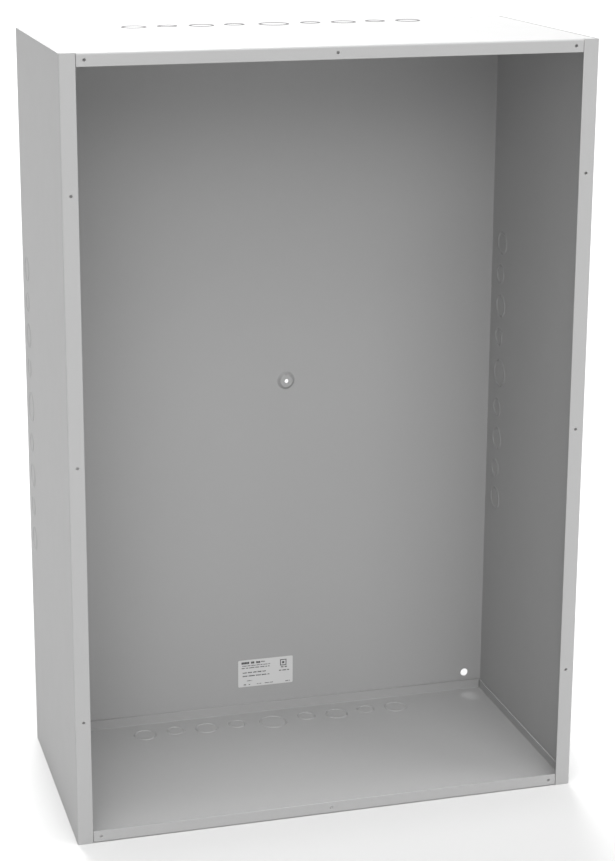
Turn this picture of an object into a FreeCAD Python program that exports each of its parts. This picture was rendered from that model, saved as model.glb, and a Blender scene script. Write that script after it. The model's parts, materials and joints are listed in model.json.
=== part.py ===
"""Empty steel back box of a wall-mounted fire alarm control panel, made as a parametric FreeCAD document.

The box is a welded sheet-metal cabinet with an open front. One sheet is bent into the back and both
sides, with a flange down each front edge. Two equal end panels close the top and the bottom: each is a
tray whose upstands lie against the wrap. A cover screws to the twelve holes round the mouth. Each of the
four walls has a row of nine conduit knockouts, which are separate slugs, each held by one tie.

Frame, in millimetres: X to the right as seen from the front, Y towards the wall, +Z up. The origin is at
the middle of the underside, so the front face is at Y = -depth / 2 and the wall is at Y = depth / 2.
"""

import FreeCAD, Part
import os
import Sketcher

# Every driving dimension: alias, value in millimetres, and what it is.
DIMENSIONS = [
    ("width", 614.4, "outside width, 24 3/16 inches"),
    ("height", 914.4, "outside height, 36 inches"),
    ("depth", 304.8, "outside depth, 12 inches"),
    ("gauge", 1.9, "thickness of the 14 gauge sheet"),
    ("bend_radius", 0.5, "inside radius of every bend"),
    ("side_flange", 18.2, "width of the front flange on each side"),
    ("end_flange", 14.9, "height of the front flange at the top and bottom"),
    ("rear_upstand", 14.3, "height of an end panel's upstand against the back"),
    ("side_upstand", 12.7, "height of an end panel's upstands against the sides"),
    ("weld_gap", 0.1, "clearance between an end panel and the wrap"),
    ("seam_gap", 0.6, "clearance between neighbouring front flanges"),
    ("flange_clear", 0.4, "clearance between an end panel's corner and the back of a side flange"),
    ("relief", 1.0, "clearance cut between bends that meet at a corner"),
    ("cover_hole", 3.5, "diameter of a cover screw hole"),
    ("cover_side_inset", 10.2, "side flange holes, in from the outside"),
    ("cover_side_pitch", 304.8, "side flange holes, spacing up the flange"),
    ("cover_end_inset", 7.7, "top and bottom flange holes, in from the outside"),
    ("cover_end_pitch", 279.5, "top and bottom flange holes, spacing along the flange"),
    ("wall_hole", 10.3, "diameter of a fixing hole in the back"),
    ("wall_hole_inset", 25.4, "fixing holes, in from the edges of the back"),
    ("knock_small", 22.2, "diameter of a half inch trade size knockout"),
    ("knock_medium", 28.2, "diameter of a three quarter inch trade size knockout"),
    ("knock_large", 34.9, "diameter of a one inch trade size knockout"),
    ("knock_slit", 0.35, "width of the slit round a knockout slug"),
    ("knock_rear", 22.5, "line that all knockouts touch, from the back's outside"),
    ("knock_first", 47.6, "middle knockout to its neighbour"),
    ("knock_pitch", 41.3, "spacing of the knockouts after that"),
    ("tie_width", 3.0, "width of the tie that holds a slug"),
    ("tie_short", 0.15, "how far the middle of a tie's flat end stops short of the hole's wall"),
    ("boss_across", 27.0, "raised boss, right of the middle of the back"),
    ("boss_base", 23.0, "diameter of the boss where it rises from the back"),
    ("boss_top", 14.0, "diameter of the boss's flat top"),
    ("boss_rise", 4.0, "how far the boss stands into the box"),
    ("boss_hole", 5.0, "diameter of the hole through the boss"),
    ("label_width", 75.0, "width of the data label"),
    ("label_tall", 38.0, "height of the data label"),
    ("label_thick", 0.25, "thickness of the data label"),
    ("label_corner", 1.5, "corner radius of the data label"),
    ("label_centre", 57.7, "middle of the data label, above the underside"),
]

# The nine knockouts of a wall, from one end of the row to the other: steps from the middle, and size.
KNOCKOUTS = [(-4, "medium"), (-3, "small"), (-2, "medium"), (-1, "small"), (0, "large")]
KNOCKOUTS += [(-step, size) for step, size in reversed(KNOCKOUTS[:4])]

# The four walls with knockouts: name, the turn about Y that carries +Z to the wall's outward normal, the
# axis that the row runs along, the expression for the inner face's distance along that normal's own axis,
# and the middle of the row along its axis.
WALLS = [
    ("top", 0, "x", "z", "Dims.height - Dims.gauge", "0"),
    ("right", 90, "z", "x", "Dims.width / 2 - Dims.gauge", "Dims.height / 2"),
    ("bottom", 180, "x", "z", "Dims.gauge", "0"),
    ("left", -90, "z", "x", "Dims.gauge - Dims.width / 2", "Dims.height / 2"),
]

ABOVE = 1.0  # how far a cutting sketch runs past the metal that it cuts
TOLERANCE = 1e-4

doc = FreeCAD.newDocument("fire_alarm_back_box")


def make_sheet():
    """The spreadsheet of driving dimensions, whose aliases every expression below uses."""
    sheet = doc.addObject("Spreadsheet::Sheet", "Dims")
    for row, (alias, value, note) in enumerate(DIMENSIONS, start=1):
        sheet.set(f"A{row}", note)
        sheet.set(f"B{row}", str(value))
        sheet.setAlias(f"B{row}", alias)
    doc.recompute()
    return sheet


def make_body(name):
    body = doc.addObject("PartDesign::Body", name)
    body.Label = name
    return body


def make_sketch(body, name, plane, offset=None):
    """A sketch on one of the body's own origin planes, moved along the plane's normal by an expression."""
    sketch = body.newObject("Sketcher::SketchObject", name)
    support = next(item for item in body.Origin.OriginFeatures if item.Role == plane)
    sketch.AttachmentSupport = [(support, "")]
    sketch.MapMode = "FlatFace"
    if offset:
        sketch.setExpression("AttachmentOffset.Base.z", offset)
    return sketch


def bind(sketch, constraint, name, expression):
    """Adds a constraint under a name, and binds its value to an expression."""
    index = sketch.addConstraint(constraint)
    sketch.renameConstraint(index, name)
    sketch.setExpression(f"Constraints.{name}", expression)


def add_rectangle(sketch, name, low_x, low_y, high_x, high_y):
    """A rectangle whose four sides are placed by expressions."""
    corners = [FreeCAD.Vector(*xy, 0) for xy in ((-9, -9), (9, -9), (9, 9), (-9, 9))]
    ends = zip(corners, corners[1:] + corners[:1])
    lines = [sketch.addGeometry(Part.LineSegment(start, end), False) for start, end in ends]
    for line, following in zip(lines, lines[1:] + lines[:1]):
        sketch.addConstraint(Sketcher.Constraint("Coincident", line, 2, following, 1))
    for kind, line in zip(("Horizontal", "Vertical") * 2, lines):
        sketch.addConstraint(Sketcher.Constraint(kind, line))
    placed = [
        ("DistanceX", lines[0], "low_x", low_x, -9),
        ("DistanceY", lines[0], "low_y", low_y, -9),
        ("DistanceX", lines[2], "high_x", high_x, 9),
        ("DistanceY", lines[2], "high_y", high_y, 9),
    ]
    for kind, line, side, expression, value in placed:
        constraint = Sketcher.Constraint(kind, -1, 1, line, 1, value)
        bind(sketch, constraint, f"{name}_{side}", expression)


def add_circle(sketch, name, x, y, diameter):
    """A circle whose centre and diameter are bound to expressions."""
    circle = Part.Circle(FreeCAD.Vector(5, 5, 0), FreeCAD.Vector(0, 0, 1), 5)
    index = sketch.addGeometry(circle, False)
    bind(sketch, Sketcher.Constraint("Diameter", index, 10), f"{name}_diameter", diameter)
    bind(sketch, Sketcher.Constraint("DistanceX", -1, 1, index, 3, 5), f"{name}_x", x)
    bind(sketch, Sketcher.Constraint("DistanceY", -1, 1, index, 3, 5), f"{name}_y", y)


def add_pad(body, sketch, name, length):
    pad = body.newObject("PartDesign::Pad", name)
    pad.Profile = sketch
    pad.setExpression("Length", length)
    doc.recompute()
    return pad


def add_pocket(body, sketch, name, reverse=False, both_ways=False):
    """A cut through everything on one side of the sketch or on both, which has to remove some metal."""
    before = body.Shape.Volume
    pocket = body.newObject("PartDesign::Pocket", name)
    pocket.Profile = sketch
    pocket.Type = "ThroughAll"
    pocket.Reversed = reverse
    pocket.Midplane = both_ways
    doc.recompute()
    if body.Shape.Volume > before - TOLERANCE:
        raise RuntimeError(f"{name} cuts nothing")
    return pocket


def add_fillet(body, feature, name, radius, chosen):
    """A fillet on the edges of the feature that chosen(edge) picks."""
    edges = enumerate(feature.Shape.Edges, start=1)
    names = [f"Edge{index}" for index, edge in edges if chosen(edge)]
    fillet = body.newObject("PartDesign::Fillet", name)
    fillet.Base = (feature, names)
    fillet.setExpression("Radius", radius)
    doc.recompute()
    return fillet


def upright(edge):
    """True for a straight edge that runs along Z."""
    box = edge.BoundBox
    return box.XLength < TOLERANCE and box.YLength < TOLERANCE


def level_at(edge, height):
    """True for an edge that lies in the plane Z = height."""
    box = edge.BoundBox
    return abs(box.ZMin - height) < TOLERANCE and abs(box.ZMax - height) < TOLERANCE


def inside_walls(edge):
    """True for an edge that isn't on the outside of the wrap."""
    half_width = dims.width / 2 - dims.gauge / 2
    half_depth = dims.depth / 2 - dims.gauge / 2
    box = edge.BoundBox
    return max(abs(box.XMin), abs(box.XMax)) < half_width and max(abs(box.YMin), abs(box.YMax)) < half_depth


def step_along(step):
    """The expression for a knockout's place along its row, from the row's middle."""
    if step == 0:
        return "0"
    sign = "-1" if step < 0 else "1"
    return f"{sign} * (Dims.knock_first + {abs(step) - 1} * Dims.knock_pitch)"


def knockout_y(size):
    """The expression for a knockout's centre along Y. All of them touch one line near the back."""
    return f"Dims.depth / 2 - Dims.knock_rear - Dims.knock_{size} / 2"


def make_cabinet_wrap():
    """The back and both sides, bent from one sheet, with a flange down each front edge."""
    body = make_body("cabinet_wrap")
    half_width, half_depth = "Dims.width / 2", "Dims.depth / 2"

    outside = make_sketch(body, "wrap_outside", "XY_Plane")
    add_rectangle(outside, "outside", f"-{half_width}", f"-{half_depth}", half_width, half_depth)
    block = add_pad(body, outside, "wrap_block", "Dims.height")
    rounded = add_fillet(body, block, "wrap_outer_bends", "Dims.bend_radius + Dims.gauge", upright)

    hollow = make_sketch(body, "wrap_hollow", "XY_Plane")
    inner_x, inner_y = f"({half_width} - Dims.gauge)", f"({half_depth} - Dims.gauge)"
    add_rectangle(hollow, "hollow", f"-1 * {inner_x}", f"-1 * {inner_y}", inner_x, inner_y)
    tube = add_pocket(body, hollow, "wrap_tube", reverse=True)
    add_fillet(
        body, tube, "wrap_inner_bends", "Dims.bend_radius", lambda e: upright(e) and inside_walls(e)
    )

    mouth = make_sketch(body, "wrap_mouth", "XY_Plane")
    lip_x = f"({half_width} - Dims.side_flange)"
    front, behind = f"-{half_depth} - {ABOVE}", f"-{half_depth} + Dims.gauge + {ABOVE}"
    add_rectangle(mouth, "mouth", f"-1 * {lip_x}", front, lip_x, behind)
    add_pocket(body, mouth, "wrap_front_opening", reverse=True)

    cut_side_knockouts(body)
    cut_side_flange_holes(body)
    cut_fixing_holes(body)
    form_boss(body)
    return body


def cut_side_knockouts(body):
    """The rows of knockout holes through both sides. The sketch's own axes are Y and Z."""
    sketch = make_sketch(body, "side_knockout_holes", "YZ_Plane")
    for number, (step, size) in enumerate(KNOCKOUTS, start=1):
        place = f"Dims.height / 2 + {step_along(step)}"
        add_circle(sketch, f"hole_{number}", knockout_y(size), place, f"Dims.knock_{size}")
    add_pocket(body, sketch, "side_knockouts", both_ways=True)


def cut_side_flange_holes(body):
    """Three cover screw holes in each side flange. The sketch's own axes are X and Z, and it faces -Y."""
    sketch = make_sketch(body, "side_flange_holes", "XZ_Plane")
    for side, sign in (("left", "-1"), ("right", "1")):
        for level in (-1, 0, 1):
            across = f"{sign} * (Dims.width / 2 - Dims.cover_side_inset)"
            place = f"Dims.height / 2 + {level} * Dims.cover_side_pitch"
            add_circle(sketch, f"{side}_{level + 2}", across, place, "Dims.cover_hole")
    add_pocket(body, sketch, "side_flange_screw_holes", reverse=True)


def cut_fixing_holes(body):
    """Four fixing holes near the corners of the back, and the clearance for the boss."""
    sketch = make_sketch(body, "back_holes", "XZ_Plane")
    for side, sign in (("left", "-1"), ("right", "1")):
        across = f"{sign} * (Dims.width / 2 - Dims.wall_hole_inset)"
        add_circle(sketch, f"low_{side}", across, "Dims.wall_hole_inset", "Dims.wall_hole")
        add_circle(
            sketch, f"high_{side}", across, "Dims.height - Dims.wall_hole_inset", "Dims.wall_hole"
        )
    add_circle(sketch, "boss", "Dims.boss_across", "Dims.height / 2", "Dims.boss_base")
    add_pocket(body, sketch, "back_fixing_holes")


def form_boss(body):
    """The raised boss: a cone of bent sheet that stands into the box, with a flat top and a hole.

    It is turned about an axis along Y. The wall's section runs from the back at the boss's foot to the
    hole, one sheet thick along Y.
    """
    sketch = make_sketch(body, "boss_section", "XY_Plane", "Dims.height / 2")
    back = "Dims.depth / 2"
    section = [
        ("Dims.boss_base / 2", f"{back} - Dims.gauge"),
        ("Dims.boss_base / 2", back),
        ("Dims.boss_top / 2 - Dims.gauge / 2", f"{back} - Dims.boss_rise"),
        ("Dims.boss_hole / 2", f"{back} - Dims.boss_rise"),
        ("Dims.boss_hole / 2", f"{back} - Dims.boss_rise - Dims.gauge"),
        ("Dims.boss_top / 2", f"{back} - Dims.boss_rise - Dims.gauge"),
    ]
    start = [(12, 10), (12, 12), (6, 8), (3, 8), (3, 6), (7, 6)]
    corners = [FreeCAD.Vector(x, y, 0) for x, y in start]
    ends = zip(corners, corners[1:] + corners[:1])
    lines = [sketch.addGeometry(Part.LineSegment(a, b), False) for a, b in ends]
    for line, following in zip(lines, lines[1:] + lines[:1]):
        sketch.addConstraint(Sketcher.Constraint("Coincident", line, 2, following, 1))
    for number, (line, (radius, place)) in enumerate(zip(lines, section), start=1):
        across = Sketcher.Constraint("DistanceX", -1, 1, line, 1, start[number - 1][0])
        along = Sketcher.Constraint("DistanceY", -1, 1, line, 1, start[number - 1][1])
        bind(sketch, across, f"corner_{number}_x", f"Dims.boss_across + {radius}")
        bind(sketch, along, f"corner_{number}_y", place)
    axis = sketch.addGeometry(Part.LineSegment(FreeCAD.Vector(0, 0, 0), FreeCAD.Vector(0, 20, 0)), True)
    sketch.addConstraint(Sketcher.Constraint("Vertical", axis))
    bind(sketch, Sketcher.Constraint("DistanceX", -1, 1, axis, 1, 1), "axis_x", "Dims.boss_across")
    bind(sketch, Sketcher.Constraint("DistanceY", -1, 1, axis, 1, 1), "axis_low", "1")
    bind(sketch, Sketcher.Constraint("DistanceY", axis, 1, axis, 2, 20), "axis_long", back)
    boss = body.newObject("PartDesign::Revolution", "raised_boss")
    boss.Profile = sketch
    boss.ReferenceAxis = (sketch, ["Axis0"])
    boss.Angle = 360
    doc.recompute()


def make_end_panel(name):
    """A tray that closes one end of the wrap, modelled as the bottom one with its outside at Z = 0."""
    body = make_body(name)
    inner_x = "(Dims.width / 2 - Dims.gauge - Dims.weld_gap)"
    front, back = "-Dims.depth / 2", "(Dims.depth / 2 - Dims.gauge - Dims.weld_gap)"

    outside = make_sketch(body, f"{name}_outside", "XY_Plane")
    add_rectangle(outside, "outside", f"-1 * {inner_x}", front, inner_x, back)
    tall = max(dims.rear_upstand, dims.end_flange, dims.side_upstand)
    block = add_pad(body, outside, f"{name}_block", "max(Dims.rear_upstand; Dims.end_flange)")
    add_fillet(
        body, block, f"{name}_outer_bends", "Dims.bend_radius + Dims.gauge", lambda e: level_at(e, 0)
    )

    tray = make_sketch(body, f"{name}_tray", "XY_Plane", "Dims.gauge")
    tray_x, tray_back = f"({inner_x} - Dims.gauge)", f"{back} - Dims.gauge"
    add_rectangle(tray, "tray", f"-1 * {tray_x}", f"{front} + Dims.gauge", tray_x, tray_back)
    hollow = add_pocket(body, tray, f"{name}_hollow", reverse=True)
    add_fillet(
        body, hollow, f"{name}_inner_bends", "Dims.bend_radius", lambda e: level_at(e, dims.gauge)
    )

    # The side upstands are lower than the front flange and the rear upstand.
    trim = make_sketch(body, f"{name}_trim", "XY_Plane", "Dims.side_upstand")
    spans = [
        ("left", f"-1 * {inner_x} - {ABOVE}", f"-1 * {tray_x} + {ABOVE}"),
        ("right", f"{tray_x} - {ABOVE}", f"{inner_x} + {ABOVE}"),
    ]
    for side, low, high in spans:
        add_rectangle(trim, side, low, f"{front} + Dims.gauge", high, f"{back} + {ABOVE}")
    if tall > dims.side_upstand + TOLERANCE:
        add_pocket(body, trim, f"{name}_side_trim", reverse=True)

    cut_end_corners(body, name, inner_x, front, back)
    cut_end_knockouts(body, name)
    cut_end_flange_holes(body, name)
    return body


def cut_end_corners(body, name, inner_x, front, back):
    """Notches that clear the wrap's front flanges, and reliefs that clear the wrap's four bends."""
    far = f"({inner_x} + {ABOVE})"
    flange_x = "(Dims.width / 2 - Dims.side_flange - Dims.seam_gap)"
    relief_x = f"({inner_x} - Dims.gauge - Dims.relief)"
    notch_y = f"{front} + Dims.gauge + Dims.flange_clear"
    relief_y = f"{front} + Dims.gauge + Dims.bend_radius + Dims.flange_clear"

    notches = make_sketch(body, f"{name}_notches", "XY_Plane")
    reliefs = make_sketch(body, f"{name}_reliefs", "XY_Plane")
    for side, sign in (("left", -1), ("right", 1)):
        low, high = (f"{sign} * {x}" for x in (flange_x, far)[::sign])
        add_rectangle(notches, side, low, f"{front} - {ABOVE}", high, notch_y)
        low, high = (f"{sign} * {x}" for x in (relief_x, far)[::sign])
        add_rectangle(reliefs, f"front_{side}", low, f"{front} - {ABOVE}", high, relief_y)
        add_rectangle(reliefs, f"rear_{side}", low, f"{back} - Dims.gauge", high, f"{back} + {ABOVE}")
    add_pocket(body, notches, f"{name}_flange_notches", both_ways=True)
    add_pocket(body, reliefs, f"{name}_corner_reliefs", both_ways=True)


def cut_end_knockouts(body, name):
    """The row of knockout holes through an end panel. The upstands aren't over them."""
    sketch = make_sketch(body, f"{name}_knockout_holes", "XY_Plane")
    for number, (step, size) in enumerate(KNOCKOUTS, start=1):
        add_circle(sketch, f"hole_{number}", step_along(step), knockout_y(size), f"Dims.knock_{size}")
    add_pocket(body, sketch, f"{name}_knockouts", reverse=True)


def cut_end_flange_holes(body, name):
    """Three cover screw holes in an end panel's front flange."""
    sketch = make_sketch(body, f"{name}_flange_holes", "XZ_Plane")
    for place in (-1, 0, 1):
        across = f"{place} * Dims.cover_end_pitch"
        add_circle(sketch, f"hole_{place + 2}", across, "Dims.cover_end_inset", "Dims.cover_hole")
    add_pocket(body, sketch, f"{name}_screw_holes", reverse=True)


def make_data_label():
    """A thin rectangular label stuck to the inside of the back, low down in the middle."""
    body = make_body("data_label")
    sketch = make_sketch(body, "label_outline", "XZ_Plane", "-1 * (Dims.depth / 2 - Dims.gauge)")
    half, tall = "Dims.label_width / 2", "Dims.label_tall / 2"
    low, high = f"Dims.label_centre - {tall}", f"Dims.label_centre + {tall}"
    add_rectangle(sketch, "label", f"-{half}", low, half, high)
    plate = add_pad(body, sketch, "label_plate", "Dims.label_thick")
    add_fillet(
        body,
        plate,
        "label_corners",
        "Dims.label_corner",
        lambda e: abs(e.BoundBox.YLength - dims.label_thick) < TOLERANCE,
    )
    return body


def make_slug(name, size):
    """A knockout slug, modelled about its own centre: inner face at Z = 0, and its tie towards +Y."""
    disc = doc.addObject("Part::Cylinder", f"{name}_disc")
    disc.setExpression("Radius", f"Dims.knock_{size} / 2 - Dims.knock_slit")
    disc.setExpression("Height", "Dims.gauge")
    # The tie starts as far inside the hole's wall as it is wide, so it runs well into the disc.
    tie = doc.addObject("Part::Box", f"{name}_tie")
    tie.setExpression("Length", "Dims.tie_width")
    tie.setExpression("Width", "Dims.tie_width - Dims.tie_short")
    tie.setExpression("Height", "Dims.gauge")
    tie.setExpression("Placement.Base.x", "-Dims.tie_width / 2")
    tie.setExpression("Placement.Base.y", f"Dims.knock_{size} / 2 - Dims.tie_width")
    slug = doc.addObject("Part::MultiFuse", name)
    slug.Shapes = [disc, tie]
    slug.Refine = True
    slug.Label = name
    return slug


def make_knockouts():
    """All the slugs, each turned to face out of its wall and moved to its hole."""
    slugs = []
    for wall, turn, along, outward, face, middle in WALLS:
        for number, (step, size) in enumerate(KNOCKOUTS, start=1):
            slug = make_slug(f"knockout_{wall}_{number}", size)
            slug.Placement = FreeCAD.Placement(
                FreeCAD.Vector(), FreeCAD.Rotation(FreeCAD.Vector(0, 1, 0), turn)
            )
            slug.setExpression(f"Placement.Base.{along}", f"{middle} + {step_along(step)}")
            slug.setExpression(f"Placement.Base.{outward}", face)
            slug.setExpression("Placement.Base.y", knockout_y(size))
            slugs.append(slug)
    doc.recompute()
    return slugs


def check(parts):
    """Stops with a message if any object failed, or any part isn't a valid closed solid."""
    failed = [item.Name for item in doc.Objects if {"Invalid", "Error"} & set(item.State)]
    if failed:
        raise RuntimeError(f"these objects failed: {failed}")
    for part in parts:
        shape = part.Shape
        if shape.isNull() or not shape.isValid() or len(shape.Solids) != 1:
            raise RuntimeError(f"{part.Label} isn't one valid solid")


def write(parts):
    os.makedirs("parts", exist_ok=True)
    for part in parts:
        part.Shape.exportStep(os.path.join("parts", f"{part.Label}.step"))


dims = make_sheet()
wrap = make_cabinet_wrap()
bottom_end = make_end_panel("bottom_end_panel")
top_end = make_end_panel("top_end_panel")
# The top panel is the same pressing, turned over about Y.
top_end.Placement = FreeCAD.Placement(
    FreeCAD.Vector(0, 0, dims.height), FreeCAD.Rotation(FreeCAD.Vector(0, 1, 0), 180)
)
top_end.setExpression("Placement.Base.z", "Dims.height")
label = make_data_label()
all_parts = [wrap, bottom_end, top_end, label] + make_knockouts()
doc.recompute()
check(all_parts)
write(all_parts)
print(f"{len(all_parts)} parts, {sum(len(part.Shape.Solids) for part in all_parts)} solids")
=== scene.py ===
"""The looks of the empty steel back box of a wall-mounted fire alarm control panel.

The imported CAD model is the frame: sizes and places are read from it. Its sheet-metal pieces are rebuilt
here as finer meshes, with truly round holes, deburred edges and smooth bends. Each is laid out as a flat
pattern, cut into triangles once, and then bent. Lengths are in metres, and the open front faces -Y.
"""

import json
import math
import random

import bpy
import numpy as np
from mathutils import Matrix, Vector
from mathutils.geometry import delaunay_2d_cdt


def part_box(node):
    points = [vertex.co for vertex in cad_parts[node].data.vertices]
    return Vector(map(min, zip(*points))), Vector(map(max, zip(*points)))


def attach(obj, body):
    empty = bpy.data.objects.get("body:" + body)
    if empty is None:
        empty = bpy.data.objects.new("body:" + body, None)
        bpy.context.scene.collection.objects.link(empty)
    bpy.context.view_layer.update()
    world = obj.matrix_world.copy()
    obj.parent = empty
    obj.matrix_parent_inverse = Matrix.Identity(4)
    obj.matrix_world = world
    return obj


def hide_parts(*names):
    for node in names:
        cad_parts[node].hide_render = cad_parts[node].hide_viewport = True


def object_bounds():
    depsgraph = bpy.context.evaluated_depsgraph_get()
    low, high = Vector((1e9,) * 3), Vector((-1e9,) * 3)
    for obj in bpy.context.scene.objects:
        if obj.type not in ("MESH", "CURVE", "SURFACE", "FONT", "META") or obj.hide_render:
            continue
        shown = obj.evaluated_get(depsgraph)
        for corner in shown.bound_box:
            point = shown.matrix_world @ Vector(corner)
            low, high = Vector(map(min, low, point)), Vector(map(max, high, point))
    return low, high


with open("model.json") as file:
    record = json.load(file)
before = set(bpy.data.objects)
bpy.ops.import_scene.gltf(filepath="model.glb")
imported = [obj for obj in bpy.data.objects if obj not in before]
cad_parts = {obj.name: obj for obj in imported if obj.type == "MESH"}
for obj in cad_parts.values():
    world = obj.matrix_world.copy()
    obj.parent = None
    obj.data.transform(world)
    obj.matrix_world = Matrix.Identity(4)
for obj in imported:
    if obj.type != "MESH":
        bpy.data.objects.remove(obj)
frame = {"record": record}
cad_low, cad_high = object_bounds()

MM = 0.001
WIDTH, DEPTH, HEIGHT = cad_high - cad_low
ROWS = ("top", "right", "bottom", "left")
PER_ROW = 9

BEND = 2.4 * MM  # outside radius of every bend
BEND_STEPS = 8
QUARTER = math.pi / 2  # a right angle
SIDE_FLANGE = 18.2 * MM
REAR_UPSTAND = 14.3 * MM
SIDE_UPSTAND = 12.7 * MM
WELD_GAP = 0.1 * MM  # between an end panel and the wrap
SEAM_GAP = 0.6 * MM  # between an end flange and a side flange
RELIEF = 1.0 * MM  # how far the rear upstand stops short of a side upstand
FLANGE_CLEAR = 0.4 * MM  # between an end panel's edge and the back of a side flange
RIM = 0.35 * MM  # radius of a deburred and painted edge
RIM_STEPS = 4
LIP_WIDTH = 1.4 * MM  # a burr stands up along both edges of a knockout's slit, on both faces
LIP_HEIGHT = 0.5 * MM
LIP_STEPS = 8

SLIT = 0.35 * MM
TIE_WIDTH = 3.0 * MM
TIE_SHORT = 0.15 * MM  # how far the middle of a tie's end stops short of its hole's wall

BOSS_RISE = 4.0 * MM
BOSS_FOOT = 11.9 * MM  # radius where the boss leaves the back
BOSS_CROWN = 7.4 * MM  # radius of its flat top
BOSS_BLEND = 0.2  # share of the slope that is rounded at each end
BOSS_RINGS = 17
BOSS_MARGIN = 1.0 * MM  # how far the fine rings run past the slope at each end

# How many corners each kind of round hole has.
KNOCKOUT_CORNERS = 80
BOSS_CORNERS = 72
WALL_HOLE_CORNERS = 64
SCREW_CORNERS = 40

NEAR = 1e-7  # two places closer than this are one

FINISHES = {}  # this scene's own materials, by name


# ---------------------------------------------------------------- sizes from the frame

def knockouts(wall):
    """(place along the row, Y of the centre, radius of the hole) of each knockout in a wall."""
    along = "x" if wall in ("top", "bottom") else "z"
    found = []
    for number in range(1, PER_ROW + 1):
        low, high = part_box(f"knockout_{wall}_{number}")
        start, end = getattr(low, along), getattr(high, along)
        slug = (end - start) / 2
        found.append(((start + end) / 2, low.y + slug, slug + SLIT))
    return found


def mount(name):
    return next(item for item in frame["record"]["mounts"] if item["name"] == name)


def pattern(name):
    """The (x, z) of each hole in one of the record's bolt patterns, and the holes' radius."""
    found = mount(name)
    x, _, z = found["pos_m"]
    dims = found["dims"]
    half_x = dims.get("spacing_x_mm", 0) * MM / 2
    half_z = dims.get("spacing_y_mm", 0) * MM / 2
    centres = {(x + i * half_x, z + k * half_z) for i in (-1, 1) for k in (-1, 1)}
    return sorted(centres), dims["hole_r_mm"] * MM


slug_low, slug_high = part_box("knockout_top_1")
GAUGE = slug_high.z - slug_low.z
panel_low, panel_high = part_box("bottom_end_panel")
END_FLANGE = panel_high.z - panel_low.z
boss = mount("boss_hole")
BOSS_CENTRE = Vector((boss["pos_m"][0], boss["pos_m"][2]))
BOSS_HOLE = boss["dims"]["r_mm"] * MM


# ---------------------------------------------------------------- sheet metal

def circle(centre, radius, corners=KNOCKOUT_CORNERS):
    """A hole's outline. It runs clockwise, so the metal is on its left."""
    turns = [-2 * math.pi * k / corners for k in range(corners)]
    return [Vector(centre) + radius * Vector((math.cos(t), math.sin(t))) for t in turns]


def leftward(start, end):
    """The unit vector to the left of the way from start to end."""
    along = (end - start).normalized()
    return Vector((-along.y, along.x))


def sideways(loop):
    """For each corner of a closed outline, the step that moves its two edges one unit into the metal."""
    steps = []
    for before, corner, after in zip(loop[-1:] + loop[:-1], loop, loop[1:] + loop[:1]):
        mitre = leftward(before, corner) + leftward(corner, after)
        steps.append(mitre * (2 / mitre.length_squared))
    return steps


def rim_profile(thickness, rim):
    """The edge of a sheet in section, outer face first: (inset, depth, tilt of the normal) at each step."""
    turns = [QUARTER * k / RIM_STEPS for k in range(RIM_STEPS + 1)]
    upper = [(rim * (1 - math.sin(t)), rim * (1 - math.cos(t)), t) for t in turns]
    lower = [(inset, thickness - depth, math.pi - t) for inset, depth, t in reversed(upper)]
    return upper + lower


def lip_profile(thickness):
    """The same for the edge of a knockout's slit, with its burrs."""
    upper = []
    for step in range(LIP_STEPS + 1):
        share = step / LIP_STEPS
        slope = LIP_HEIGHT / LIP_WIDTH * math.pi * math.cos(math.pi * share)
        height = LIP_HEIGHT * math.sin(math.pi * share)
        upper.append((LIP_WIDTH * (1 - share), -height, -math.atan(slope)))
    lower = [(inset, thickness - depth, math.pi - tilt) for inset, depth, tilt in reversed(upper)]
    return upper + lower


def inside_metal(points, loops):
    """True for each point that is inside the outline and outside every hole."""
    inside = np.zeros(len(points), bool)
    for loop in loops:
        for a, b in zip(loop, loop[1:] + loop[:1]):
            if a.y == b.y:
                continue
            spans = (a.y > points[:, 1]) != (b.y > points[:, 1])
            crossing = a.x + (points[:, 1] - a.y) * (b.x - a.x) / (b.y - a.y)
            inside ^= spans & (points[:, 0] < crossing)
    return inside


def triangulate(loops, lines):
    """Cuts a flat pattern into triangles that keep every loop and line as edges.

    Returns the points, the triangles, and for each loop the numbers of its points.
    """
    points, edges = [], []
    starts = []
    for loop in loops:
        starts.append(len(points))
        edges += [(len(points) + k, len(points) + (k + 1) % len(loop)) for k in range(len(loop))]
        points += loop
    for line in lines:
        edges += [(len(points) + k, len(points) + k + 1) for k in range(len(line) - 1)]
        points += line
    corners, _, triangles, origins, _, _ = delaunay_2d_cdt(points, edges, [], 0, NEAR)
    merged = {old: new for new, group in enumerate(origins) for old in group}
    numbers = [[merged[start + k] for k in range(len(loop))] for start, loop in zip(starts, loops)]
    places = np.array([corner[:] for corner in corners])
    middles = places[np.array(triangles)].mean(axis=1)
    kept = [t for t, keep in zip(triangles, inside_metal(middles, loops)) if keep]
    return corners, kept, numbers


def make_piece(name, points, normals, faces, finish, dark=()):
    """A smooth-shaded mesh object with the exact normals that are given.

    The faces whose numbers are in dark take the darker finish that paints shade along the knockout slits.
    """
    mesh = bpy.data.meshes.new(name)
    mesh.from_pydata(points, [], faces)
    mesh.materials.append(FINISHES[finish])
    if dark:
        mesh.materials.append(FINISHES["slit_shade_paint"])
        for number in dark:
            mesh.polygons[number].material_index = 1
    mesh.validate()
    mesh.shade_smooth()
    mesh.normals_split_custom_set_from_vertices(normals)
    piece = bpy.data.objects.new(name, mesh)
    bpy.context.scene.collection.objects.link(piece)
    return piece


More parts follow.
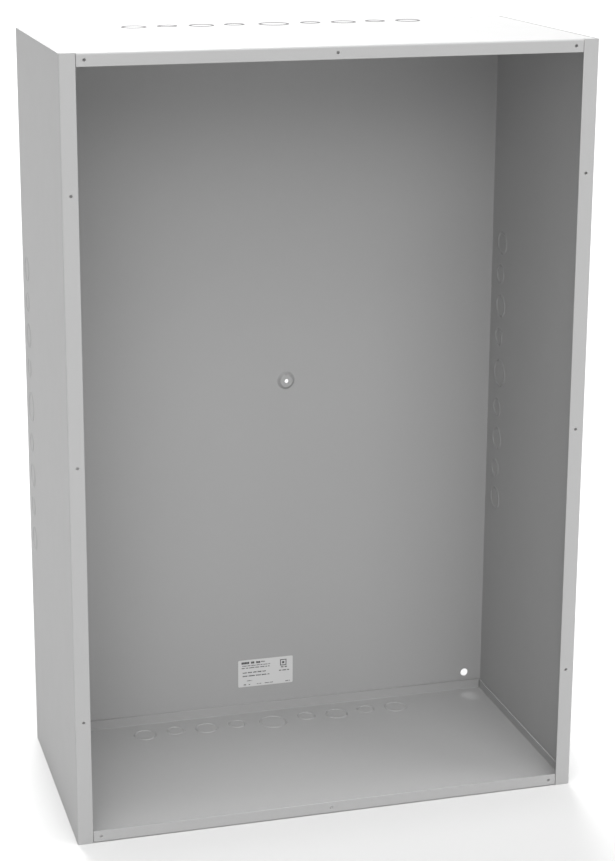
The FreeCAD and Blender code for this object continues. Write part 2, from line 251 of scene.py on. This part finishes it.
def make_sheet(name, cuts, place, thickness=GAUGE, lines=(), finish="satin_powder", painted_slit_shade=False):
    """A bent sheet, cut along each of the outlines in cuts, which are pairs of an outline and its rim.

    The first is the sheet's own edge, and the rest are holes. A rim of LIP_WIDTH marks a knockout's slit,
    which gets burrs. place(point) bends one point of the flat pattern. It returns the point's place on the
    outer face, the outward normal, the direction in which depth is measured, and the two directions in
    space of the pattern's own axes. If the last argument is true, the burrs on the outer side are painted
    darker, as painted shade for the slit.
    space of the pattern's own axes. If dusty, the burrs are darker on the outer side.
    """
    loops = [[Vector(corner) for corner in loop] for loop, _ in cuts]
    rims = [rim for _, rim in cuts]
    steps = [sideways(loop) for loop in loops]
    faced = [
        [corner + step * rim for corner, step in zip(loop, along)]
        for loop, along, rim in zip(loops, steps, rims)
    ]
    corners, triangles, numbers = triangulate(faced, lines)

    placed = [place(corner) for corner in corners]
    points = [spot for spot, _, _, _, _ in placed]
    points += [spot + inward * thickness for spot, _, inward, _, _ in placed]
    normals = [normal for _, normal, _, _, _ in placed]
    normals += [-normal for normal in normals]
    below = len(corners)
    faces = [tuple(t) for t in triangles]
    faces += [tuple(k + below for k in reversed(t)) for t in triangles]

    dark = []
    for loop, step, top, rim in zip(loops, steps, numbers, rims):
        rings = [top]
        lipped = rim == LIP_WIDTH
        profile = lip_profile(thickness) if lipped else rim_profile(thickness, rim)
        for inset, depth, tilt in profile[1:-1]:
            rings.append(list(range(len(points), len(points) + len(loop))))
            for corner, sideway in zip(loop, step):
                spot, normal, inward, along_u, along_v = place(corner + sideway * inset)
                outward = -(along_u * sideway.x + along_v * sideway.y).normalized()
                points.append(spot + inward * depth)
                normals.append((outward * math.sin(tilt) + normal * math.cos(tilt)).normalized())
        rings.append([number + below for number in top])
        # painted shade: the outer burrs of a slit take a dark finish that stands in for the shade in the
        # slit
        if lipped and painted_slit_shade:
            dark += range(len(faces), len(faces) + LIP_STEPS * len(loop))
        for upper, lower in zip(rings, rings[1:]):
            for k, after in zip(range(len(loop)), list(range(1, len(loop))) + [0]):
                faces.append((upper[k], lower[k], lower[after], upper[after]))
    return make_piece(name, points, normals, faces, finish, dark)


def press_flat(piece):
    """Presses the burrs on the underside flat, so that the box stands flush."""
    for vertex in piece.data.vertices:
        vertex.co.z = max(vertex.co.z, cad_low.z)


def split(start, end, folds):
    """The points from start up to, not with, end, with one at each fold that lies between them.

    folds holds the places of the fold lines along the first axis and along the second.
    """
    start, end = Vector(start), Vector(end)
    axis = 0 if abs(end.x - start.x) > abs(end.y - start.y) else 1
    low, high = sorted((start[axis], end[axis]))
    between = [fold for fold in folds[axis] if low + NEAR < fold < high - NEAR]
    between.sort(reverse=end[axis] < start[axis])
    points = [start]
    for fold in between:
        point = start.copy()
        point[axis] = fold
        points.append(point)
    return points


def outline(corners, folds):
    """A closed outline through the corners, with a point wherever a fold line meets it."""
    points = []
    for start, end in zip(corners, corners[1:] + corners[:1]):
        points += split(start, end, folds)
    return points


# ---------------------------------------------------------------- the wrap

def wrap_runs():
    """The wrap's straight runs, anticlockwise from above, each with the place where it starts.

    Each is (distance along the flat pattern, start point in plan, heading, length). A quarter bend follows
    every run but the last.
    """
    lip = SIDE_FLANGE - BEND
    side, back = DEPTH - 2 * BEND, WIDTH - 2 * BEND
    corner_x, corner_y = WIDTH / 2 - BEND, DEPTH / 2 - BEND
    starts = [
        (Vector((corner_x - lip, -DEPTH / 2)), 0.0, lip),
        (Vector((WIDTH / 2, -corner_y)), QUARTER, side),
        (Vector((corner_x, DEPTH / 2)), 2 * QUARTER, back),
        (Vector((-WIDTH / 2, corner_y)), 3 * QUARTER, side),
        (Vector((-corner_x, -DEPTH / 2)), 4 * QUARTER, lip),
    ]
    runs, distance = [], 0.0
    for start, heading, length in starts:
        runs.append((distance, start, heading, length))
        distance += length + BEND * QUARTER
    return runs


RUNS = wrap_runs()
WRAP_LENGTH = RUNS[-1][0] + RUNS[-1][3]
FLANGE_RIGHT, SIDE_RIGHT, BACK, SIDE_LEFT, FLANGE_LEFT = range(5)


def on_wrap(run, across, up):
    """The flat pattern's point for a place on one run, given as its X or its Y and its Z."""
    distance, start, _, _ = RUNS[run]
    origin = start.x if run in (FLANGE_RIGHT, BACK, FLANGE_LEFT) else start.y
    return Vector((distance + abs(across - origin), up))


def boss_height(point):
    """How far the boss stands in from the back at a place on it, and the slope along X and along Z."""
    away = point - BOSS_CENTRE
    reach = away.length
    if reach >= BOSS_FOOT or reach <= BOSS_CROWN:
        return (0.0 if reach >= BOSS_FOOT else BOSS_RISE), Vector((0.0, 0.0))
    share = (BOSS_FOOT - reach) / (BOSS_FOOT - BOSS_CROWN)
    edge = min(share, 1 - share)
    steep = min(edge / BOSS_BLEND, 1.0) / (1 - BOSS_BLEND)
    climbed = steep * edge / 2 if edge < BOSS_BLEND else (edge - BOSS_BLEND / 2) / (1 - BOSS_BLEND)
    rise = BOSS_RISE * (climbed if share < 0.5 else 1 - climbed)
    slope = -steep * BOSS_RISE / (BOSS_FOOT - BOSS_CROWN)
    return rise, away.normalized() * slope


def place_on_wrap(point):
    """Bends a point of the wrap's flat pattern: its first axis runs round the box, its second is Z."""
    index = max(k for k in range(len(RUNS)) if point.x >= RUNS[k][0] - NEAR)
    distance, start, heading, length = RUNS[index]
    past = point.x - distance
    ahead = Vector((math.cos(heading), math.sin(heading)))
    left = Vector((-ahead.y, ahead.x))
    plan = start + ahead * min(past, length)
    if past > length:
        turn = (past - length) / BEND
        plan += BEND * (ahead * math.sin(turn) + left * (1 - math.cos(turn)))
        ahead = ahead * math.cos(turn) + left * math.sin(turn)
        left = Vector((-ahead.y, ahead.x))
    spot = Vector((plan.x, plan.y, point.y))
    along = Vector((ahead.x, ahead.y, 0))
    up = Vector((0, 0, 1))
    inward = Vector((left.x, left.y, 0))
    normal = -inward
    if index == BACK:
        rise, slope = boss_height(Vector((plan.x, point.y)))
        spot += inward * rise
        normal = (normal + Vector((slope.x, 0, slope.y))).normalized()
    return spot, normal, inward, along, up


def make_wrap():
    folds = [
        distance + length + BEND * QUARTER * step / BEND_STEPS
        for distance, _, _, length in RUNS[:-1]
        for step in range(BEND_STEPS + 1)
    ]
    edge = [(0, 0), (WRAP_LENGTH, 0), (WRAP_LENGTH, HEIGHT), (0, HEIGHT)]
    cuts = [(outline(edge, (folds, ())), RIM)]
    for wall, run in (("right", SIDE_RIGHT), ("left", SIDE_LEFT)):
        cuts += [(circle(on_wrap(run, y, z), radius), LIP_WIDTH) for z, y, radius in knockouts(wall)]
    for name in ("cover_holes_sides", "cover_holes_middles"):
        centres, radius = pattern(name)
        for x, z in centres:
            flange = FLANGE_RIGHT if x > 0 else FLANGE_LEFT
            cuts.append((circle(on_wrap(flange, x, z), radius, SCREW_CORNERS), RIM))
    centres, radius = pattern("wall_holes")
    cuts += [(circle(on_wrap(BACK, x, z), radius, WALL_HOLE_CORNERS), RIM) for x, z in centres]
    boss_spot = on_wrap(BACK, BOSS_CENTRE.x, BOSS_CENTRE.y)
    cuts.append((circle(boss_spot, BOSS_HOLE, BOSS_CORNERS), RIM))
    lines = [[Vector((fold, RIM)), Vector((fold, HEIGHT - RIM))] for fold in folds]
    for radius in np.linspace(BOSS_CROWN - BOSS_MARGIN, BOSS_FOOT + BOSS_MARGIN, BOSS_RINGS):
        ring = circle(boss_spot, float(radius), BOSS_CORNERS)
        lines.append(ring + ring[:1])
    wrap = make_sheet("wrap", cuts, place_on_wrap, lines=lines)
    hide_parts("cabinet_wrap")
    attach(wrap, "cabinet")


# ---------------------------------------------------------------- the end panels

PANEL_X = WIDTH / 2 - GAUGE - WELD_GAP
PANEL_BACK = DEPTH / 2 - GAUGE - WELD_GAP
PANEL_FRONT = -DEPTH / 2
ARC = BEND * QUARTER  # length of a bend along the flat pattern

# Places on an end panel's flat pattern.
FLANGE_X = WIDTH / 2 - SIDE_FLANGE - SEAM_GAP
FLANGE_START = PANEL_FRONT + BEND - ARC
RELIEF_X = PANEL_X - GAUGE - RELIEF
UPSTAND_FRONT = PANEL_FRONT + BEND + FLANGE_CLEAR
UPSTAND_BACK = PANEL_BACK - GAUGE


def bent_down(distance, low, high):
    """Folds one axis of an end panel's pattern down beyond low and high.

    Returns the place along the axis, how far down it is, and the signed angle of the bend there.
    """
    if low <= distance <= high:
        return distance, 0.0, 0.0
    edge, sign = (high, 1) if distance > high else (low, -1)
    past = abs(distance - edge)
    angle = min(past / BEND, QUARTER)
    straight = past - angle * BEND
    across = edge + sign * BEND * math.sin(angle)
    return across, BEND * (1 - math.cos(angle)) + straight, sign * angle


def place_on_panel(point):
    """Bends a point of the top end panel's flat pattern, whose axes are X and Y."""
    x, down_x, angle_x = bent_down(point.x, BEND - PANEL_X, PANEL_X - BEND)
    y, down_y, angle_y = bent_down(point.y, PANEL_FRONT + BEND, PANEL_BACK - BEND)
    spot = Vector((x, y, HEIGHT - down_x - down_y))
    along_x = Vector((math.cos(angle_x), 0, -math.sin(angle_x)))
    along_y = Vector((0, math.cos(angle_y), -math.sin(angle_y)))
    normal = along_x.cross(along_y).normalized()
    return spot, normal, -normal, along_x, along_y


def panel_corners():
    """The flat pattern's corners on the right, from the front flange's to the rear upstand's."""
    far_x = PANEL_X - BEND + ARC + SIDE_UPSTAND - BEND
    front = FLANGE_START - (END_FLANGE - BEND)
    notch = PANEL_FRONT + GAUGE + FLANGE_CLEAR
    back = PANEL_BACK - BEND + ARC + REAR_UPSTAND - BEND
    return [
        (FLANGE_X, front),
        (FLANGE_X, notch),
        (RELIEF_X, notch),
        (RELIEF_X, UPSTAND_FRONT),
        (far_x, UPSTAND_FRONT),
        (far_x, UPSTAND_BACK),
        (RELIEF_X, UPSTAND_BACK),
        (RELIEF_X, back),
    ]


def make_end_panels():
    right = panel_corners()
    left = [(-x, y) for x, y in reversed(right)]
    steps = [ARC * step / BEND_STEPS for step in range(BEND_STEPS + 1)]
    folds_x = [sign * (PANEL_X - BEND + step) for sign in (-1, 1) for step in steps]
    folds_back = [PANEL_BACK - BEND + step for step in steps]
    folds_front = [PANEL_FRONT + BEND - step for step in steps]
    folds_y = folds_back + folds_front
    cuts = [(outline(right + left, (folds_x, folds_y)), RIM)]
    cuts += [(circle((x, y), radius), LIP_WIDTH) for x, y, radius in knockouts("top")]
    for name in ("cover_holes_corners", "cover_holes_ends"):
        centres, radius = pattern(name)
        for x, z in centres:
            if z > HEIGHT / 2:
                centre = (x, FLANGE_START - (HEIGHT - z - BEND))
                cuts.append((circle(centre, radius, SCREW_CORNERS), RIM))

    low, high = UPSTAND_FRONT + RIM, UPSTAND_BACK - RIM
    lines = [[Vector((fold, low)), Vector((fold, high))] for fold in folds_x]
    for folds, half in ((folds_back, RELIEF_X - RIM), (folds_front, FLANGE_X - RIM)):
        lines += [[Vector((-half, fold)), Vector((half, fold))] for fold in folds]
    # the top panel's outer slit burrs get the painted slit shade, and the bottom panel is a copy of it
    top = make_sheet("top_panel", cuts, place_on_panel, lines=lines, painted_slit_shade=True)
    bottom = top.copy()
    bottom.data = top.data.copy()
    bottom.name = "bottom_panel"
    bpy.context.scene.collection.objects.link(bottom)
    turned = Matrix.Translation((0, 0, HEIGHT)) @ Matrix.Rotation(math.pi, 4, "Y")
    bottom.data.transform(turned)
    press_flat(bottom)
    for piece, node in ((top, "top_end_panel"), (bottom, "bottom_end_panel")):
        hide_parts(node)
        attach(piece, "cabinet")


# ---------------------------------------------------------------- the knockout slugs

def slug_outline(hole):
    """A slug's outline about its own centre, with its tie towards +Y, running anticlockwise."""
    radius = hole - SLIT
    root = math.asin(TIE_WIDTH / 2 / radius)
    turns = np.linspace(QUARTER + root, 5 * QUARTER - root, KNOCKOUT_CORNERS)
    rim = [Vector((radius * math.cos(t), radius * math.sin(t))) for t in turns]
    end = hole - TIE_SHORT
    return rim + [Vector((TIE_WIDTH / 2, end)), Vector((-TIE_WIDTH / 2, end))]


def make_slugs():
    half = Vector((WIDTH / 2, 0, HEIGHT / 2))
    turns = {"top": 0, "right": QUARTER, "bottom": 2 * QUARTER, "left": -QUARTER}
    for wall in ROWS:
        turn = Matrix.Rotation(turns[wall], 4, "Y")
        outward = turn @ Vector((0, 0, 1))
        for number, (along, y, hole) in enumerate(knockouts(wall), start=1):
            middle = Vector((0, y, HEIGHT / 2))
            middle += Vector((outward.x * half.x, 0, outward.z * half.z))
            if wall in ("top", "bottom"):
                middle.x = along
            else:
                middle.z = along
            placed = Matrix.Translation(middle) @ turn

            def place(point, placed=placed):
                spin = placed.to_3x3()
                normal = spin @ Vector((0, 0, 1))
                spot = placed @ Vector((point.x, point.y, 0))
                return spot, normal, -normal, spin @ Vector((1, 0, 0)), spin @ Vector((0, 1, 0))

            cuts = [(slug_outline(hole), LIP_WIDTH)]
            # the slugs in the top and bottom get the painted slit shade on their outer burrs
            painted_slit_shade = wall in ("top", "bottom")
            slug = make_sheet(f"slug_{wall}_{number}", cuts, place, painted_slit_shade=painted_slit_shade)
            press_flat(slug)
            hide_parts(f"knockout_{wall}_{number}")
            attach(slug, f"knockout_{wall}_{number}")


# ---------------------------------------------------------------- the data label

LABEL_CORNER = 1.5 * MM
PRINT_PROUD = 0.02 * MM

# Stand-in print is drawn in rows of boxes. Three of its sizes are shares of the height of the row's letters.
LETTER_WIDTHS = (0.35, 0.75)  # the least and the most
LETTER_RISES = (0.5, 0.5, 0.35)  # of a letter's top above the row's middle
WORD_GAP = 0.8
WORD_LETTERS = (3, 8)  # the fewest and the most letters in a word

# The rows are in millimetres: left end, right end, middle of the row up from the label's middle, and the
# height of a letter. So is the gap after each letter.
LETTER_GAP = 0.2
PRINT_ROWS = [
    (-33.0, -8.0, 14.9, 3.0),
    (-6.2, -1.0, 15.1, 1.5),
    (-31.7, 6.0, 10.8, 1.2),
    (-32.7, 5.6, 7.7, 1.4),
    (-31.3, 1.5, 1.1, 1.6),
    (-31.3, 5.0, -3.7, 1.6),
    (-25.5, -18.8, -10.6, 1.2),
    (-30.0, -26.8, -15.9, 1.6),
    (-23.3, -20.2, -15.9, 1.3),
    (-12.1, -6.2, -15.9, 1.1),
    (-1.0, 9.5, -15.9, 1.1),
    (21.4, 29.4, 4.4, 1.8),
    (18.6, 31.8, -0.3, 1.6),
    (27.3, 33.6, -16.1, 1.2),
]

MARK_CENTRE = Vector((24.4, 10.8)) * MM
MARK_HALF = 4.4 * MM
MARK_LINE = 1.1 * MM
MARK_DOT = 1.5 * MM


def rounded_rectangle(half_x, half_y, radius, steps=6):
    """An anticlockwise outline about the origin."""
    points = []
    for quarter, (sign_x, sign_y) in enumerate(((1, 1), (-1, 1), (-1, -1), (1, -1))):
        middle = Vector((sign_x * (half_x - radius), sign_y * (half_y - radius)))
        for step in range(steps + 1):
            turn = QUARTER * (quarter + step / steps)
            points.append(middle + radius * Vector((math.cos(turn), math.sin(turn))))
    return points


def label_place():
    """The label's middle, width, height, and the Y of its printed face."""
    low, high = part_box("data_label")
    return (low + high) / 2, high.x - low.x, high.z - low.z, low.y


def place_on_label(point, lift=0.0):
    """Stands the label's own plane up against the back, facing the front."""
    middle, _, _, face = label_place()
    spot = Vector((middle.x + point.x, face - lift, middle.z + point.y))
    return spot, Vector((0, -1, 0)), Vector((0, 1, 0)), Vector((1, 0, 0)), Vector((0, 0, 1))


def print_boxes():
    """Small rectangles in rows that stand for lines of print, as (low x, low y, high x, high y)."""
    chance = random.Random(7)
    boxes = []
    for left, right, level, tall in PRINT_ROWS:
        at, letters = left, chance.randint(*WORD_LETTERS)
        while at < right:
            wide = tall * chance.uniform(*LETTER_WIDTHS)
            rise = tall * chance.choice(LETTER_RISES)
            boxes.append((at * MM, (level - tall / 2) * MM, (at + wide) * MM, (level + rise) * MM))
            at += wide + LETTER_GAP
            letters -= 1
            if letters == 0:
                at += tall * WORD_GAP
                letters = chance.randint(*WORD_LETTERS)
    return boxes


def mark_boxes():
    """A plain square outline with a solid square in it, which stands for the label's printed mark."""
    x, y = MARK_CENTRE
    out, line = MARK_HALF, MARK_LINE
    sides = [(-out, -out, out, line - out), (-out, out - line, out, out)]
    sides += [(-out, line - out, line - out, out - line), (out - line, line - out, out, out - line)]
    sides.append((-MARK_DOT, -MARK_DOT, MARK_DOT, MARK_DOT))
    return [(x + a, y + b, x + c, y + d) for a, b, c, d in sides]


def make_label():
    _, width, tall, face = label_place()
    thickness = DEPTH / 2 - GAUGE - face
    rim = thickness / 4
    edge = rounded_rectangle(width / 2, tall / 2, LABEL_CORNER)
    label = make_sheet("label", [(edge, rim)], place_on_label, thickness, finish="label_film")
    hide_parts("data_label")
    points, faces = [], []
    for a, b, c, d in print_boxes() + mark_boxes():
        start = len(points)
        faces.append((start, start + 1, start + 2, start + 3))
        corners = [Vector(xy) for xy in ((a, b), (c, b), (c, d), (a, d))]
        points += [place_on_label(corner, PRINT_PROUD)[0] for corner in corners]
    print_normals = [Vector((0, -1, 0))] * len(points)
    ink = make_piece("label_print", points, print_normals, faces, "label_ink")
    for piece in (label, ink):
        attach(piece, "cabinet")


# ---------------------------------------------------------------- materials

NOISE_MIDDLE = (0.3, 0.7)  # most of a noise texture's values lie between these


def new_material(name, tone, roughness):
    """A plain grey material, with its node tree and its shader."""
    material = bpy.data.materials.new(name)
    material.use_nodes = True
    FINISHES[name] = material
    tree = material.node_tree
    shader = tree.nodes["Principled BSDF"]
    shader.inputs["Base Color"].default_value = (tone, tone, tone, 1)
    shader.inputs["Roughness"].default_value = roughness
    return tree, shader


def add_noise(tree, scale, detail):
    """A noise texture fixed to the piece. The scale is in repeats per metre."""
    where = tree.nodes.new("ShaderNodeTexCoord")
    noise = tree.nodes.new("ShaderNodeTexNoise")
    noise.inputs["Scale"].default_value = scale
    noise.inputs["Detail"].default_value = detail
    tree.links.new(where.outputs["Object"], noise.inputs["Vector"])
    return noise.outputs["Fac"]


def add_range(tree, value, low, high):
    """Spreads the middle part of a noise's range over low to high."""
    spread = tree.nodes.new("ShaderNodeMapRange")
    spread.inputs["From Min"].default_value, spread.inputs["From Max"].default_value = NOISE_MIDDLE
    spread.inputs["To Min"].default_value = low
    spread.inputs["To Max"].default_value = high
    tree.links.new(value, spread.inputs["Value"])
    return spread.outputs["Result"]


def add_bump(tree, height, depth, under=None):
    """A bump of the given depth in metres, over another bump if one is given."""
    bump = tree.nodes.new("ShaderNodeBump")
    bump.inputs["Strength"].default_value = 1.0
    bump.inputs["Distance"].default_value = depth
    tree.links.new(height, bump.inputs["Height"])
    if under:
        tree.links.new(under, bump.inputs["Normal"])
    return bump.outputs["Normal"]


def vary_grey(tree, shader, tone):
    """Drives all three channels of the base colour by one value."""
    grey = tree.nodes.new("ShaderNodeCombineColor")
    for channel in ("Red", "Green", "Blue"):
        tree.links.new(tone, grey.inputs[channel])
    tree.links.new(grey.outputs["Color"], shader.inputs["Base Color"])


def satin_powder():
    """Satin grey powder coat: orange peel, a finer grain in it, and a little unevenness of tone."""
    tree, shader = new_material("satin_powder", tone=0.31, roughness=0.5)
    shader.inputs["IOR"].default_value = 1.5
    tone = add_range(tree, add_noise(tree, scale=9, detail=3), low=0.308, high=0.312)
    speck = add_range(tree, add_noise(tree, scale=2500, detail=2), low=0.97, high=1.03)
    shade = tree.nodes.new("ShaderNodeMath")
    shade.operation = "MULTIPLY"
    tree.links.new(tone, shade.inputs[0])
    tree.links.new(speck, shade.inputs[1])
    vary_grey(tree, shader, shade.outputs["Value"])
    sheen = add_range(tree, add_noise(tree, scale=40, detail=4), low=0.49, high=0.51)
    tree.links.new(sheen, shader.inputs["Roughness"])
    peel = add_bump(tree, add_noise(tree, scale=420, detail=2), depth=0.03 * MM)
    grain = add_bump(tree, add_noise(tree, scale=1900, detail=2), depth=0.006 * MM, under=peel)
    tree.links.new(grain, shader.inputs["Normal"])


def slit_shade_paint():
    """The outer burrs of the knockout slits, painted dark as painted shade for the slits."""
    # painted shade: a dark grey that stands in for the shade inside the knockout slits
    _, shader = new_material("slit_shade_paint", tone=0.13, roughness=0.9)
    shader.inputs["Specular IOR Level"].default_value = 0.1


def label_film():
    """Pale printed polyester, with a slight ripple from the sheet under it."""
    tree, shader = new_material("label_film", tone=0.54, roughness=0.35)
    sheen = add_range(tree, add_noise(tree, scale=60, detail=2), low=0.32, high=0.40)
    tree.links.new(sheen, shader.inputs["Roughness"])
    ripple = add_bump(tree, add_noise(tree, scale=300, detail=1), depth=0.01 * MM)
    tree.links.new(ripple, shader.inputs["Normal"])


def label_ink():
    """Dark print that wears a little thin."""
    tree, shader = new_material("label_ink", tone=0.05, roughness=0.45)
    vary_grey(tree, shader, add_range(tree, add_noise(tree, scale=900, detail=3), low=0.02, high=0.06))


def floor_paint():
    """The studio's pale floor, which is quite dull."""
    _, shader = new_material("floor_paint", tone=0.45, roughness=0.9)
    shader.inputs["Specular IOR Level"].default_value = 0.0


# ---------------------------------------------------------------- studio

FLOOR_SIZE = 80
SKY_STRENGTH = 0.3


def make_floor():
    bpy.ops.mesh.primitive_plane_add(size=FLOOR_SIZE, location=(0, 0, cad_low.z))
    floor = bpy.context.object
    floor.name = "floor"
    floor.data.materials.append(FINISHES["floor_paint"])


SUNS = [
    # name, compass turn from the front towards the right, height, spread of the light (degrees), strength
    ("low_front", -20, 20, 30, 0.50),
    ("front", 0, 35, 45, 1.38),
    ("right", 60, 45, 30, 1.10),
    ("left", -40, 60, 45, 1.05),
    ("high_front", -20, 75, 30, 1.17),
    ("overhead", 20, 90, 12, 1.28),
    ("rear", 180, 45, 30, 4.10),
]


def make_lights():
    for name, turn, height, spread, strength in SUNS:
        data = bpy.data.lights.new(name, "SUN")
        data.angle = math.radians(spread)
        data.energy = strength
        light = bpy.data.objects.new(name, data)
        azimuth, elevation = math.radians(turn), math.radians(height)
        flat = math.cos(elevation)
        towards = Vector((math.sin(azimuth) * flat, -math.cos(azimuth) * flat, math.sin(elevation)))
        light.rotation_euler = (-towards).to_track_quat("-Z", "Y").to_euler()
        bpy.context.scene.collection.objects.link(light)


def make_world():
    world = bpy.data.worlds.new("studio")
    world.use_nodes = True
    background = world.node_tree.nodes["Background"]
    background.inputs["Color"].default_value = (1, 1, 1, 1)
    background.inputs["Strength"].default_value = SKY_STRENGTH
    bpy.context.scene.world = world


CAMERA_PLACE = (-0.6572, -2.2865, 1.1401)
CAMERA_DIP = math.radians(14.715)  # how far it looks down
CAMERA_TURN = math.radians(-15.048)  # from straight back, and below zero towards the right
SENSOR = 36  # millimetres, as is the lens
LENS = 85.329
SHIFT = (0.0505, -0.0742)
FARTHEST = 200


def make_camera():
    data = bpy.data.cameras.new("camera")
    data.sensor_width = SENSOR
    data.lens = LENS
    data.shift_x, data.shift_y = SHIFT
    data.clip_end = FARTHEST
    camera = bpy.data.objects.new("camera", data)
    camera.location = CAMERA_PLACE
    camera.rotation_euler = (QUARTER - CAMERA_DIP, 0, CAMERA_TURN)
    bpy.context.scene.collection.objects.link(camera)
    bpy.context.scene.camera = camera


satin_powder()
slit_shade_paint()
label_film()
label_ink()
floor_paint()
make_wrap()
make_end_panels()
make_slugs()
make_label()
make_floor()
make_lights()
make_world()
make_camera()
bpy.context.scene.view_settings.view_transform = "Standard"
